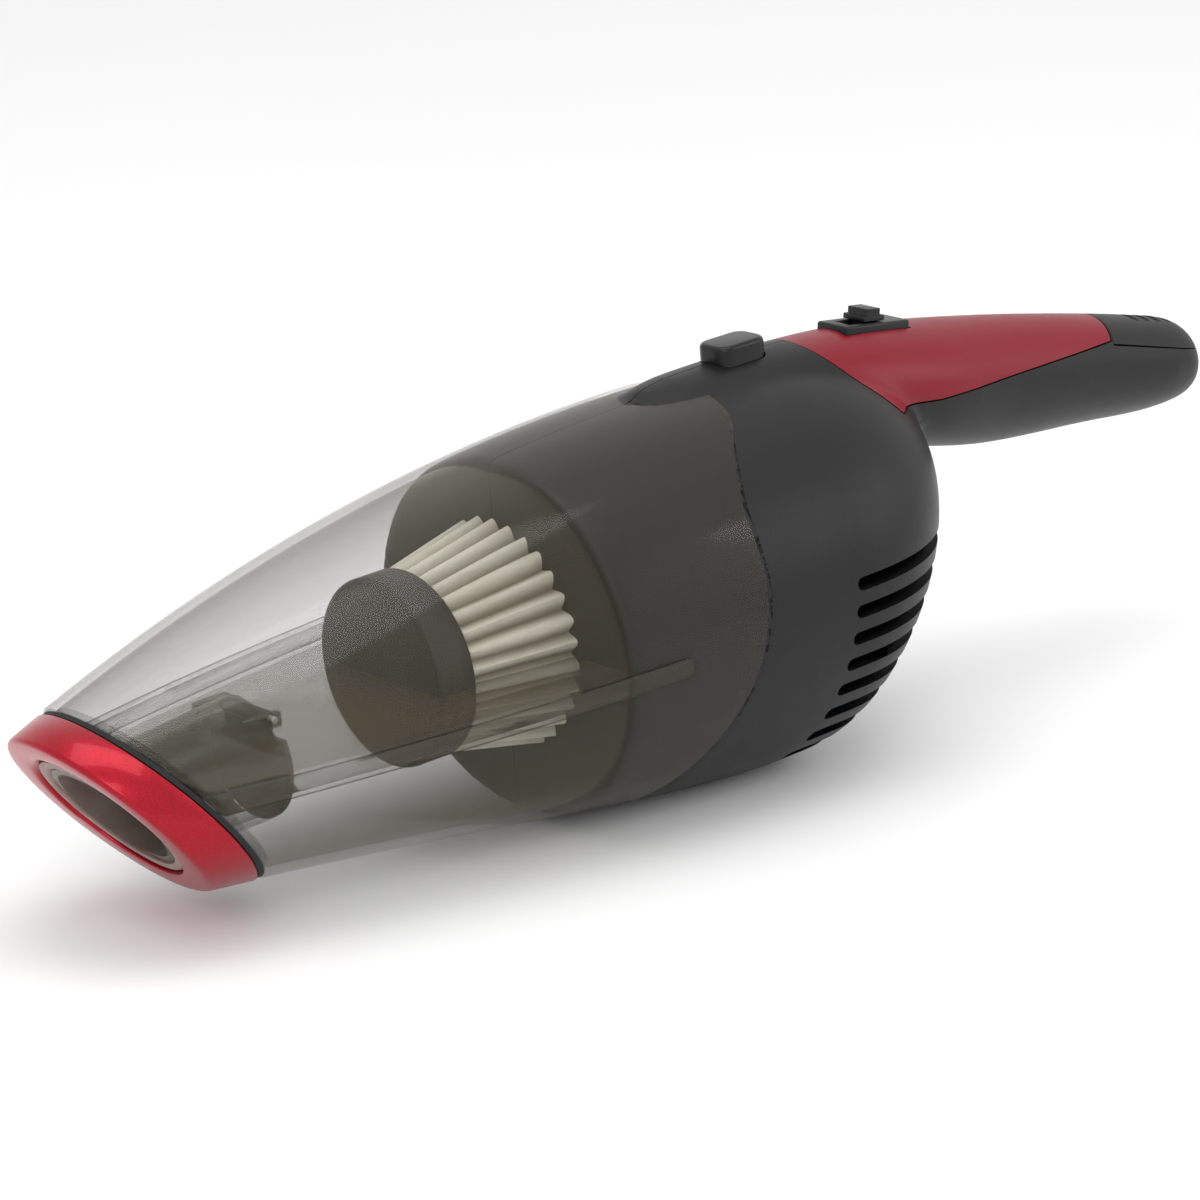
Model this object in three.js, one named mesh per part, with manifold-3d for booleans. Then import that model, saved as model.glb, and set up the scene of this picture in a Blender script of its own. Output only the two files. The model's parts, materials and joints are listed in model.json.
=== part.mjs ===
// Handheld vacuum: clear dust cup with a slanted red nozzle, pleated cartridge filter,
// clamshell housing that runs back into a bent handle, fan motor and battery inside.
// Millimetres. Inside the body group +X runs to the nozzle along the fan axis and +Z is up;
// the whole body then stands nose-down by REST_PITCH on the flat land under the housing.

import * as THREE from 'three';
import { mergeVertices } from 'three/addons/utils/BufferGeometryUtils.js';
import Module from 'manifold-3d';

const wasm = await Module();
wasm.setup();

// ---------------------------------------------------------------- driving dimensions
const REST_PITCH = THREE.MathUtils.degToRad(4); // nose-down angle when it stands on its land
const BODY_HALF_WIDTH = 51.5;
const BODY_TOP = 48.6;
const BODY_BOTTOM = -53.5;
const DOME_START = -14; // where the rear dome begins
const DOME_DEPTH = 52; // how far the dome reaches behind that
const DOME_LEAN = 0.52; // the dome leans back at the top, as the seam does
const BODY_FRONT = 206; // the taper runs on past the slanted mouth
const MOUTH = { x: 181.8, z: -9.6, slant: THREE.MathUtils.degToRad(37) };
const COLLAR_THICK = 10; // nozzle collar, square to the mouth
const GASKET_THICK = 1.2;
const CUP_WALL = 2.2;
const SHELL_WALL = 2.6;
const TRIM_THICK = 2; // red trim and end cap, laid into the handle
const GAP = 0.3; // between parts that touch
const SEAM_GAP = 0.9; // open line between cup and housing
const SPIGOT_REACH = 17; // how far the housing spigot enters the cup
const SPIGOT_WALL = 2;
const LAND_DROP = 52; // the resting land, below the fan axis
const SIDES = 32; // facets round the body
const PI2 = Math.PI * 2;

// ---------------------------------------------------------------- solids
function solid(geometry) {
  const g = geometry.clone();
  g.deleteAttribute('normal');
  g.deleteAttribute('uv');
  const merged = mergeVertices(g, 1e-4);
  return new wasm.Manifold(new wasm.Mesh({
    numProp: 3,
    vertProperties: new Float32Array(merged.attributes.position.array),
    triVerts: new Uint32Array(merged.index.array),
  }));
}

function geometryOf(body) {
  const m = body.getMesh();
  const g = new THREE.BufferGeometry();
  g.setAttribute('position', new THREE.BufferAttribute(new Float32Array(m.vertProperties), 3));
  g.setIndex(new THREE.BufferAttribute(new Uint32Array(m.triVerts), 1));
  return g;
}

// A box between two corners.
function block(x0, x1, y0, y1, z0, z1) {
  const g = new THREE.BoxGeometry(x1 - x0, y1 - y0, z1 - z0);
  return solid(g.translate((x0 + x1) / 2, (y0 + y1) / 2, (z0 + z1) / 2));
}

// Turned about the X axis: profile points are [radius, x], closed on itself or on the axis.
function turned(profile, sides = 24, at = [0, 0]) {
  const points = profile.map(([r, x]) => new THREE.Vector2(r, x));
  const g = new THREE.LatheGeometry(points, sides);
  g.rotateZ(-Math.PI / 2);
  return solid(g.translate(0, at[0], at[1]));
}

function rodX(radius, x0, x1, y = 0, z = 0, sides = 16) {
  const g = new THREE.CylinderGeometry(radius, radius, x1 - x0, sides);
  g.rotateZ(-Math.PI / 2);
  return solid(g.translate((x0 + x1) / 2, y, z));
}

function rodY(radius, x, z, y0, y1, sides = 12) {
  const g = new THREE.CylinderGeometry(radius, radius, y1 - y0, sides);
  return solid(g.translate(x, (y0 + y1) / 2, z));
}

function ringX(outer, inner, x0, x1, sides = 32, at = [0, 0]) {
  return turned([[inner, x0], [outer, x0], [outer, x1], [inner, x1], [inner, x0]], sides, at);
}

// A side-view outline [[x, z], ...] pushed out across the body.
function prism(outline, y0 = -90, y1 = 90) {
  const shape = new THREE.Shape(outline.map(([x, z]) => new THREE.Vector2(x, z)));
  const g = new THREE.ExtrudeGeometry(shape, { depth: y1 - y0, bevelEnabled: false });
  g.rotateX(Math.PI / 2);
  return solid(g.translate(0, y1, 0));
}

// Everything in front of a plane square to the mouth's axis, "ahead" mm past the mouth.
function pastMouth(ahead) {
  const size = 320;
  const g = new THREE.BoxGeometry(size, size, size);
  g.translate(size / 2 + ahead, 0, 0);
  g.rotateY(MOUTH.slant);
  return solid(g.translate(MOUTH.x, 0, MOUTH.z));
}

// A body lofted along X: section(x) gives half width, top and bottom of a round section.
function loft(section, stations, sides = SIDES) {
  const rings = stations.length - 1;
  const g = new THREE.CylinderGeometry(1, 1, 1, sides, rings);
  const p = g.attributes.position;
  for (let i = 0; i < p.count; i += 1) {
    const station = stations[Math.round((p.getY(i) + 0.5) * rings)];
    const s = section(station);
    const middle = (s.top + s.bottom) / 2;
    const half = (s.top - s.bottom) / 2;
    const z = middle + p.getX(i) * half;
    p.setXYZ(i, station - (s.lean ?? 0) * z, p.getZ(i) * s.width, z);
  }
  return solid(g);
}

function steps(from, to, count) {
  return Array.from({ length: count + 1 }, (_, i) => from + ((to - from) * i) / count);
}

// ---------------------------------------------------------------- outer forms
// Belly line, from under the fan forward to the nozzle.
const BELLY = new THREE.CubicBezierCurve(
  new THREE.Vector2(0, BODY_BOTTOM),
  new THREE.Vector2(45, -51),
  new THREE.Vector2(110, -35),
  new THREE.Vector2(206, -28.4),
);

function bellyAt(x) {
  let low = 0;
  let high = 1;
  for (let i = 0; i < 30; i += 1) {
    const mid = (low + high) / 2;
    if (BELLY.getPoint(mid).x < x) low = mid;
    else high = mid;
  }
  return BELLY.getPoint(low).y;
}

// Body section at x, drawn in by inset: parabolic taper to the front, dome to the rear.
function bodySection(inset) {
  return (x) => {
    const ahead = Math.max(x, 0);
    const behind = Math.max(DOME_START - x, 0) / (DOME_DEPTH - inset);
    const dome = Math.sqrt(Math.max(1 - Math.pow(behind, 2.3), 0.0004));
    const top = BODY_TOP - 0.00087 * ahead * ahead;
    const bottom = x > 0 ? bellyAt(x) : BODY_BOTTOM;
    const middle = (top + bottom) / 2;
    const half = ((top - bottom) / 2 - inset) * dome;
    const width = (BODY_HALF_WIDTH - 0.0007 * ahead * ahead - inset) * dome;
    const lean = DOME_LEAN * Math.min(behind, 1);
    return { width, top: middle + half, bottom: middle - half, lean };
  };
}

function bodyForm(inset) {
  const depth = DOME_DEPTH - inset;
  const rear = steps(0, Math.PI / 2, 5).map((angle) => DOME_START - depth * Math.cos(angle));
  return loft(bodySection(inset), rear.slice(0, -1).concat(steps(DOME_START, BODY_FRONT, 6)));
}

// Handle and the spine that runs from it over the housing: [x, half width, top, bottom].
const HANDLE = [
  [-185, 7, 17.8, 5],
  [-183.4, 9.8, 21.2, 3],
  [-178.8, 12.8, 24.2, 1],
  [-170, 14.2, 26.8, 0.6],
  [-140, 15.2, 34.4, 3.4],
  [-105, 16.8, 42.2, 7],
  [-78, 19, 47.2, 13],
  [-50, 17.5, 51, 22],
  [-20, 14, 52.2, 30],
  [2, 11.5, 52, 36],
  [13, 8, 50.6, 40],
];

function handleForm(inset) {
  const end = HANDLE[0][0] + inset;
  const kept = HANDLE.filter(([x], i) => i === 0 || x > end + 1);
  const rows = kept.map(([x, width, top, bottom], i) => ({
    x: i === 0 ? end : x, width: width - inset, top: top - inset, bottom: bottom + inset,
  }));
  const at = (x) => rows.find((row) => row.x === x);
  return loft(at, rows.map((row) => row.x), 22);
}

// ---------------------------------------------------------------- the seam
// Side view of the line where cup meets housing: [x, z] from top to bottom, an S.
const SEAM = new THREE.CatmullRomCurve3([
  [-6, 70], [-3, 49], [-1, 46], [9, 38], [15.5, 27], [17.2, 10], [22.5, -9], [31, -25], [42, -43],
  [48, -56], [50, -70],
].map(([x, z]) => new THREE.Vector3(x, 0, z)));

function aheadOfSeam(offset) {
  const line = SEAM.getPoints(16).map((p) => [p.x + offset, p.z]);
  return prism([...line, [260, -70], [260, 70]]);
}

// ---------------------------------------------------------------- materials
function finish(colour, roughness, metalness = 0, opacity = 1) {
  return new THREE.MeshStandardMaterial({
    color: colour, roughness, metalness, opacity, transparent: opacity < 1,
  });
}

const LOOK = {
  red_gloss: () => finish(0xb4052c, 0.18, 0.35),
  red_satin: () => finish(0x861024, 0.42),
  black: () => finish(0x1f1f21, 0.45),
  smoke: () => finish(0x8a8478, 0.08, 0, 0.42),
  dark: () => finish(0x2c2c2e, 0.4),
  rubber: () => finish(0x151515, 0.8),
  paper: () => finish(0xcfcab8, 0.9),
  liner: () => finish(0x9a7f78, 0.5),
  steel: () => finish(0xa8aaad, 0.32, 1),
  brass: () => finish(0xb8923c, 0.35, 1),
  nylon: () => finish(0xd8d5cc, 0.55),
  cell: () => finish(0x2f6fb0, 0.4),
  board: () => finish(0x1d5a34, 0.5),
  lens: () => finish(0x9fd8a0, 0.15),
};

const body = new THREE.Group();

function part(name, shape, look, home = body) {
  const mesh = new THREE.Mesh(geometryOf(shape), look());
  mesh.name = name;
  home.add(mesh);
}

// ---------------------------------------------------------------- nozzle and dust cup
const COLLAR_BACK = -COLLAR_THICK;
const CUP_FRONT = COLLAR_BACK - GASKET_THICK - 2 * GAP;

// An upright oval passage: half width, half height and centre height along X.
function passage(rows, grow) {
  const table = rows.map(([x, width, half, z]) => ({
    x, width: width + grow, top: z + half + grow, bottom: z - half - grow,
  }));
  return loft((x) => table.find((row) => row.x === x), table.map((row) => row.x), 20);
}

const INTAKE = [
  [142, 14.2, 14.2, -7], [160, 14.6, 13.4, -8],
  [180, 15.6, 12.6, -9.5], [206, 16.4, 12.6, -9.5],
];
const TUBE_WALL = 1.6;

const collarBore = passage(INTAKE, TUBE_WALL + 3);
const collar = bodyForm(-0.2)
  .subtract(pastMouth(0))
  .intersect(pastMouth(COLLAR_BACK))
  .subtract(collarBore);
part('nozzle_collar', collar, LOOK.red_gloss);

const liner = passage(INTAKE, TUBE_WALL + 3 - GAP)
  .subtract(pastMouth(-0.8))
  .intersect(pastMouth(COLLAR_BACK))
  .subtract(passage(INTAKE, TUBE_WALL + GAP));
part('mouth_liner', liner, LOOK.liner);

const gasket = bodyForm(0.2)
  .subtract(pastMouth(COLLAR_BACK - GAP))
  .intersect(pastMouth(COLLAR_BACK - GAP - GASKET_THICK))
  .subtract(passage(INTAKE, TUBE_WALL + 3));
part('collar_gasket', gasket, LOOK.rubber);

const tube = passage(INTAKE, TUBE_WALL)
  .subtract(pastMouth(-1.4))
  .subtract(loft(
    (x) => {
      const row = [...INTAKE].reverse().find((r) => r[0] <= x) ?? INTAKE[0];
      return { width: row[1], top: row[3] + row[2], bottom: row[3] - row[2] };
    },
    [141, ...INTAKE.slice(1).map((row) => row[0])],
    20,
  ));

// Two ears over the tube's rear end carry the flap's pin.
const FLAP = { x: 140, z: 4.4, radius: 15.4, thick: 1.4, pin: 0.9 };
const ear = (y) => block(FLAP.x - 1.8, 148, y, y + 2, FLAP.z - 1.8, FLAP.z + 1.8);
const pinHole = rodY(FLAP.pin + GAP, FLAP.x, FLAP.z, -20, 20);
part('intake_tube', tube.add(ear(-11)).add(ear(9)).subtract(pinHole), LOOK.dark);

const flapPlate = rodX(FLAP.radius, FLAP.x - FLAP.thick / 2, FLAP.x + FLAP.thick / 2, 0, -7, 32)
  .subtract(block(130, 150, -20, 20, FLAP.z - 2.2, 20))
  .subtract(block(130, 150, 8.6, 20, FLAP.z - 4.4, 20)) // clear of the ears as it swings
  .subtract(block(130, 150, -20, -8.6, FLAP.z - 4.4, 20));
const flapBarrel = rodY(FLAP.pin + 0.9, FLAP.x, FLAP.z, -8.6, 8.6)
  .add(block(FLAP.x - FLAP.thick / 2, FLAP.x + FLAP.thick / 2, -8.6, 8.6, FLAP.z - 3, FLAP.z));
const flap = flapPlate.add(flapBarrel).subtract(pinHole);
part('flap_valve', flap, LOOK.rubber);
part('flap_pin', rodY(FLAP.pin, FLAP.x, FLAP.z, -11, 11), LOOK.steel);

// Dust cup: open shell, ring of wall at the front where the tube passes, side rails outside.
const HOOK = { x: 5, half: 4.5 };
const RAIL = { z: 2.2, half: 2.6, from: 44, to: 168, proud: 0.9 };
const railStrip = bodyForm(-RAIL.proud)
  .intersect(block(RAIL.from, RAIL.to, -90, 90, RAIL.z - RAIL.half - 4, RAIL.z + RAIL.half - 4));
const cupFloor = bodyForm(0)
  .subtract(pastMouth(CUP_FRONT))
  .intersect(pastMouth(CUP_FRONT - CUP_WALL))
  .subtract(passage(INTAKE, TUBE_WALL + GAP));
const cup = bodyForm(0)
  .subtract(pastMouth(CUP_FRONT))
  .add(railStrip.subtract(pastMouth(CUP_FRONT)))
  .subtract(bodyForm(CUP_WALL))
  .add(cupFloor)
  .intersect(aheadOfSeam(SEAM_GAP))
  .subtract(block(HOOK.x - 3, HOOK.x + 3.5, -HOOK.half, HOOK.half, 40, 60));
part('dust_cup', cup, LOOK.smoke);

// ---------------------------------------------------------------- cartridge filter
const FILTER = { back: 54, rearRadius: 30.5, front: 90, frontRadius: 23.8, cap: 10.5, pleats: 30, z: 1.6 };
const cartridge = new THREE.Group();
cartridge.position.z = FILTER.z;
body.add(cartridge);

// Pleated paper: a star section whose ridges taper from the flange to the cap.
function pleats() {
  const count = FILTER.pleats * 2;
  const g = new THREE.CylinderGeometry(1, 1, 1, count, 1);
  const p = g.attributes.position;
  for (let i = 0; i < p.count; i += 1) {
    const radius = Math.hypot(p.getX(i), p.getZ(i));
    const angle = Math.atan2(p.getZ(i), p.getX(i));
    const tooth = Math.round((angle / PI2) * count) % 2 === 0 ? 0 : 2.6;
    const front = p.getY(i) > 0;
    const reach = (front ? FILTER.frontRadius - 0.5 : FILTER.rearRadius - 0.5) - tooth;
    const x = front ? FILTER.front - GAP : FILTER.back + 3;
    p.setXYZ(i, x, radius * reach * Math.sin(angle), radius * reach * Math.cos(angle));
  }
  return solid(g);
}

const CORE = { outer: 18, inner: 16 };
part('pleated_filter', pleats().subtract(rodX(CORE.outer + 0.6, 50, 110, 0, 0, 20)), LOOK.paper, cartridge);

const coreWindow = (angle) => {
  const g = new THREE.BoxGeometry(8, 60, 5);
  g.rotateX(angle);
  return g;
};
let core = ringX(CORE.outer, CORE.inner, FILTER.back + 3 + GAP, FILTER.front - GAP, 20);
for (let ring = 0; ring < 3; ring += 1) {
  for (let i = 0; i < 3; i += 1) {
    const g = coreWindow((i / 3) * Math.PI + (ring % 2) * 0.5);
    core = core.subtract(solid(g.translate(FILTER.back + 9 + ring * 11, 0, 0)));
  }
}
part('filter_core', core, LOOK.nylon, cartridge);

const cap = turned([
  [0, FILTER.front], [FILTER.frontRadius, FILTER.front], [FILTER.frontRadius, FILTER.front + 2],
  [FILTER.frontRadius - 1.2, FILTER.front + FILTER.cap - 1],
  [FILTER.frontRadius - 2.4, FILTER.front + FILTER.cap],
  [0, FILTER.front + FILTER.cap],
], 28);
part('filter_cap', cap, LOOK.dark, cartridge);
const flange = ringX(FILTER.rearRadius + 1, 17, FILTER.back, FILTER.back + 3 - GAP, 28)
  .add(ringX(19.6, 17, FILTER.back - 12, FILTER.back + 0.5, 20));
part('filter_flange', flange, LOOK.dark, cartridge);
part('filter_gasket', ringX(26, 20.6, FILTER.back - 2.4, FILTER.back - GAP, 20), LOOK.rubber, cartridge);

// Holder: dished bulkhead across the cup, its rim leaning with the seam, skirt inside the spigot.
const HOLDER = {
  face: FILTER.back - 2.7, hub: 33, rim: 42, dish: 11,
  lean: 0.15, drop: 0.8, skirt: 34, wall: 2,
};
const holderProfile = [
  [20, HOLDER.face - HOLDER.wall], [HOLDER.hub - 1, HOLDER.face - HOLDER.wall],
  [HOLDER.rim - HOLDER.wall, HOLDER.face - HOLDER.dish - HOLDER.wall],
  [HOLDER.rim - HOLDER.wall, HOLDER.skirt],
  [HOLDER.rim, HOLDER.skirt], [HOLDER.rim, HOLDER.face - HOLDER.dish], [HOLDER.hub, HOLDER.face],
  [20, HOLDER.face], [20, HOLDER.face - HOLDER.wall],
];
const holderPoints = holderProfile.map(([r, x]) => new THREE.Vector2(r, x));
const holderShape = new THREE.LatheGeometry(holderPoints, 32);
holderShape.rotateZ(-Math.PI / 2);
const hp = holderShape.attributes.position;
for (let i = 0; i < hp.count; i += 1) {
  const r = Math.hypot(hp.getY(i), hp.getZ(i));
  const share = THREE.MathUtils.clamp((r - HOLDER.hub) / (HOLDER.rim - HOLDER.hub), 0, 1);
  hp.setX(i, hp.getX(i) - share * HOLDER.lean * hp.getZ(i));
  hp.setZ(i, hp.getZ(i) + FILTER.z - share * (HOLDER.drop + FILTER.z));
}
part('filter_holder', solid(holderShape), LOOK.dark);

// ---------------------------------------------------------------- housing halves
const outer = bodyForm(0).subtract(aheadOfSeam(0));
const spine = handleForm(0).subtract(bodyForm(-0.4).intersect(aheadOfSeam(0)));
const spigot = bodyForm(CUP_WALL + 0.5).subtract(aheadOfSeam(SPIGOT_REACH));
const cavity = bodyForm(CUP_WALL + 0.5 + SPIGOT_WALL)
  .add(bodyForm(SHELL_WALL).subtract(block(-10, 220, -90, 90, -90, 90)))
  .add(handleForm(TRIM_THICK + SHELL_WALL));

const SCREWS = [[-174, 12], [-116, 20], [-66, 26], [-46, -28], [30, -43]];
const BOSS = { radius: 3.7, hole: 1.6, head: 2.8, seat: -7 };
const bosses = SCREWS.map(([x, z]) => rodY(BOSS.radius, x, z, -60, 60, 10))
  .reduce((a, b) => a.add(b))
  .intersect(bodyForm(1).subtract(aheadOfSeam(0)).add(handleForm(1)));

let shell = outer.add(spine).add(spigot).subtract(cavity).add(bosses);

// Red trim over the handle's crown and the ribbed black cap behind it, in side view.
const TRIM_OUTLINE = [[-34, 56], [-54, 32.5], [-74, 30], [-146, 27.2], [-159, 48], [-120, 62]];
const CAP_OUTLINE = [[-146.6, 26.2], [-160, 48], [-160, 60], [-200, 60], [-200, 15], [-186, 15]];
const skin = (above, depth) => bodyForm(-above).add(handleForm(-above))
  .subtract(bodyForm(depth).add(handleForm(depth)));
const bed = skin(1, TRIM_THICK + 2 * GAP);
const facing = skin(0, TRIM_THICK);
const grow = (outline, by) => {
  const cx = outline.reduce((s, p) => s + p[0], 0) / outline.length;
  const cz = outline.reduce((s, p) => s + p[1], 0) / outline.length;
  return outline.map(([x, z]) => [x + Math.sign(x - cx) * by, z + Math.sign(z - cz) * by]);
};
const recess = prism(grow(TRIM_OUTLINE, 2 * GAP)).add(prism(grow(CAP_OUTLINE, 2 * GAP)));
shell = shell.subtract(bed.intersect(recess));

const SWITCH = { x: -65.5, halfLong: 11.5, halfWide: 5.6, tilt: 0.145, top: 48.6 };
// A box on the handle's crown, turned with it at the switch.
function atSwitch(x0, x1, half, z0, z1) {
  const g = new THREE.BoxGeometry(x1 - x0, 2 * half, z1 - z0);
  g.translate((x0 + x1) / 2, 0, (z0 + z1) / 2);
  g.rotateY(-SWITCH.tilt);
  return solid(g.translate(SWITCH.x, 0, SWITCH.top));
}
const switchBed = atSwitch(-SWITCH.halfLong - GAP, SWITCH.halfLong + GAP, SWITCH.halfWide + GAP, -9, 12);
const trim = facing.intersect(prism(TRIM_OUTLINE)).subtract(switchBed);
part('handle_trim', trim, LOOK.red_satin);

let endCap = facing.intersect(prism(CAP_OUTLINE));
for (let i = 0; i < 5; i += 1) {
  const x = -164.5 - i * 4.4;
  endCap = endCap.subtract(block(x - 0.9, x + 0.9, -8, 8, 27.2 - i * 1.25, 60));
}
part('handle_end_cap', endCap, LOOK.black);

// Exhaust louvres: level slots in the sides that run round on to the rear dome.
for (let i = 0; i < 8; i += 1) {
  const z = 3.4 - i * 6.9;
  const front = -12 + i * 1.2;
  shell = shell
    .subtract(block(-90, front, 15, 90, z - 1.7, z + 1.7))
    .subtract(block(-90, front, -90, -15, z - 1.7, z + 1.7));
}

const BUTTON = { x: -19.5, halfLong: 8, halfWide: 5.6, top: 56.4, travel: 1.6 };
const padShape = (halfLong, halfWide, corner) => {
  const s = new THREE.Shape();
  s.moveTo(halfLong - corner, -halfWide);
  s.absarc(halfLong - corner, -halfWide + corner, corner, -Math.PI / 2, 0);
  s.absarc(halfLong - corner, halfWide - corner, corner, 0, Math.PI / 2);
  s.absarc(-halfLong + corner, halfWide - corner, corner, Math.PI / 2, Math.PI);
  s.absarc(-halfLong + corner, -halfWide + corner, corner, Math.PI, 1.5 * Math.PI);
  s.closePath();
  return s;
};
function pad(halfLong, halfWide, corner, z0, z1) {
  const g = new THREE.ExtrudeGeometry(padShape(halfLong, halfWide, corner), {
    depth: z1 - z0, bevelEnabled: false, curveSegments: 4,
  });
  return solid(g.translate(BUTTON.x, 0, z0));
}
shell = shell
  .subtract(pad(BUTTON.halfLong + GAP, BUTTON.halfWide + GAP, 4, 40, 70))
  .subtract(switchBed)
  .subtract(block(HOOK.x - 3, HOOK.x + 3.5, -HOOK.half, HOOK.half, 38, 47.6));

// Flat land that the vacuum stands on, level when the body is pitched nose-down.
const landCut = new THREE.BoxGeometry(300, 200, 40);
landCut.translate(0, 0, -LAND_DROP - 20);
landCut.rotateY(-REST_PITCH);
shell = shell.subtract(solid(landCut));

// Charging jack and its lamp in the rear dome, under the handle.
const JACK = { face: -57, depth: 13, z: -12, half: 5.4, bore: 4.2 };
const LAMP = { z: 2, radius: 1.6, from: -66.6, to: -58 };
function jackBlock(from, to, extra) {
  const half = JACK.half + extra;
  return block(from, to, -half, half, JACK.z - half, JACK.z + half);
}
shell = shell
  .subtract(jackBlock(-90, JACK.face + JACK.depth + GAP, GAP))
  .subtract(rodX(LAMP.radius + GAP, -90, LAMP.to + GAP, 0, LAMP.z));

for (const [x, z] of SCREWS) {
  shell = shell
    .subtract(rodY(BOSS.hole, x, z, BOSS.seat - 3, 8))
    .subtract(rodY(BOSS.head + 0.3, x, z, -70, BOSS.seat));
}
const halfGap = GAP / 2;
const lift = (s) => s.subtract(block(-210, 130, -halfGap, halfGap, -80, 80));
const bothHalves = lift(shell);
const mainPiece = (s) => s.decompose().reduce((a, b) => (b.volume() > a.volume() ? b : a));
part('housing_left', mainPiece(bothHalves.intersect(block(-210, 130, 0, 90, -80, 80))), LOOK.black);
part('housing_right', mainPiece(bothHalves.intersect(block(-210, 130, -90, 0, -80, 80))), LOOK.black);

SCREWS.forEach(([x, z], i) => {
  const screw = rodY(BOSS.head, x, z, BOSS.seat - 2.2, BOSS.seat - 0.2, 10)
    .add(rodY(1.3, x, z, BOSS.seat - 0.6, 7, 8))
    .subtract(block(x - 1.9, x + 1.9, BOSS.seat - 3, BOSS.seat - 1.5, z - 0.4, z + 0.4));
  part(`housing_screw_${i + 1}`, screw, LOOK.steel);
});

// ---------------------------------------------------------------- release button and catch
const button = pad(BUTTON.halfLong, BUTTON.halfWide, 3.8, 46.4, BUTTON.top)
  .add(pad(3, 2, 1.5, 42.8, 46.6));
part('release_button', button, LOOK.black);

// The catch lever turns on its rear pin; the button pushes its middle down.
const LEVER = { pinX: -36, z: 40.4, half: 4, thick: 2 };
const leverBar = block(LEVER.pinX, HOOK.x + 2, -LEVER.half, LEVER.half, LEVER.z, LEVER.z + LEVER.thick)
  .add(block(HOOK.x - 1.6, HOOK.x + 2, -LEVER.half, LEVER.half, LEVER.z, 45.6))
  .add(rodY(2.6, LEVER.pinX, LEVER.z + 1, -LEVER.half, LEVER.half, 16));
part('catch_lever', leverBar.subtract(rodY(1.5, LEVER.pinX, LEVER.z + 1, -20, 20)), LOOK.dark);
part('catch_pin', rodY(1.2, LEVER.pinX, LEVER.z + 1, -7, 7), LOOK.steel);

class Coil extends THREE.Curve {
  getPoint(t) {
    const a = t * PI2 * 3.5;
    return new THREE.Vector3(2.4 * Math.cos(a), 2.4 * Math.sin(a), t * 7.6);
  }
}
const wire = new THREE.Shape(new THREE.EllipseCurve(0, 0, 0.4, 0.4).getPoints(6).slice(0, 6));
const spring = new THREE.ExtrudeGeometry(wire, { steps: 28, extrudePath: new Coil(), bevelEnabled: false });
part('catch_spring', solid(spring.translate(-9, 0, 32)), LOOK.steel);
part('spring_seat', block(-14, -4, -5, 5, 29.6, 31.2), LOOK.dark);

// ---------------------------------------------------------------- slide switch
const plate = atSwitch(-SWITCH.halfLong, SWITCH.halfLong, SWITCH.halfWide, -2.4, 1.7)
  .subtract(atSwitch(-3.2, 7.6, 2.6, -4, 4));
part('switch_plate', plate, LOOK.black);
const slider = atSwitch(-3.6, 3.6, 4, 2, 3.4)
  .add(atSwitch(-2.4, 2.4, 3.6, 3.2, 5.2))
  .add(atSwitch(-2.6, 2.6, 1.9, -5.6, 2.4));
part('switch_slider', slider, LOOK.black);
part('switch_case', atSwitch(-9, 9, 4.6, -15, -6.2), LOOK.dark);

// ---------------------------------------------------------------- fan motor
const MOTOR = { back: -38, front: 16, radius: 18, shaft: 1.6 };
part('motor_can', turned([
  [MOTOR.shaft + 0.6, MOTOR.front - 6], [MOTOR.radius - 1, MOTOR.front - 6],
  [MOTOR.radius - 1, MOTOR.back + 8],
  [MOTOR.radius, MOTOR.back + 8], [MOTOR.radius, MOTOR.front], [6, MOTOR.front], [6, MOTOR.front + 2],
  [MOTOR.shaft + 0.6, MOTOR.front + 2], [MOTOR.shaft + 0.6, MOTOR.front - 6],
], 24), LOOK.steel);
part('motor_end_bell', turned([
  [MOTOR.shaft + 0.6, MOTOR.back], [6, MOTOR.back], [6, MOTOR.back + 3], [MOTOR.radius, MOTOR.back + 3],
  [MOTOR.radius, MOTOR.back + 8 - GAP], [MOTOR.shaft + 0.6, MOTOR.back + 8 - GAP],
  [MOTOR.shaft + 0.6, MOTOR.back],
], 24), LOOK.nylon);
const winding = { radius: MOTOR.radius - 6, from: MOTOR.back + 12, to: MOTOR.front - 9 };
part('motor_armature', ringX(winding.radius, MOTOR.shaft + 0.05, winding.from, winding.to, 24), LOOK.brass);
part('motor_shaft', rodX(MOTOR.shaft, MOTOR.back - 1, 32.6, 0, 0, 16), LOOK.steel);

const FAN = { back: 24.6, front: 31, radius: 31, hub: 7, blades: 9 };
let impeller = turned([
  [MOTOR.shaft + 0.05, FAN.back], [FAN.radius, FAN.back],
  [FAN.radius, FAN.back + 1.4], [FAN.hub, FAN.back + 1.8],
  [5, FAN.front + 0.6], [MOTOR.shaft + 0.05, FAN.front + 0.6], [MOTOR.shaft + 0.05, FAN.back],
], 24);
for (let i = 0; i < FAN.blades; i += 1) {
  const blade = new THREE.BoxGeometry(FAN.front - FAN.back - 0.6, FAN.radius - FAN.hub, 1.2);
  blade.rotateX(0.45);
  blade.translate((FAN.back + FAN.front) / 2 + 0.3, (FAN.radius + FAN.hub) / 2 - 1.6, 2.4);
  blade.rotateX((i / FAN.blades) * PI2);
  impeller = impeller.add(solid(blade));
}
part('fan_wheel', impeller, LOOK.nylon);

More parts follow.
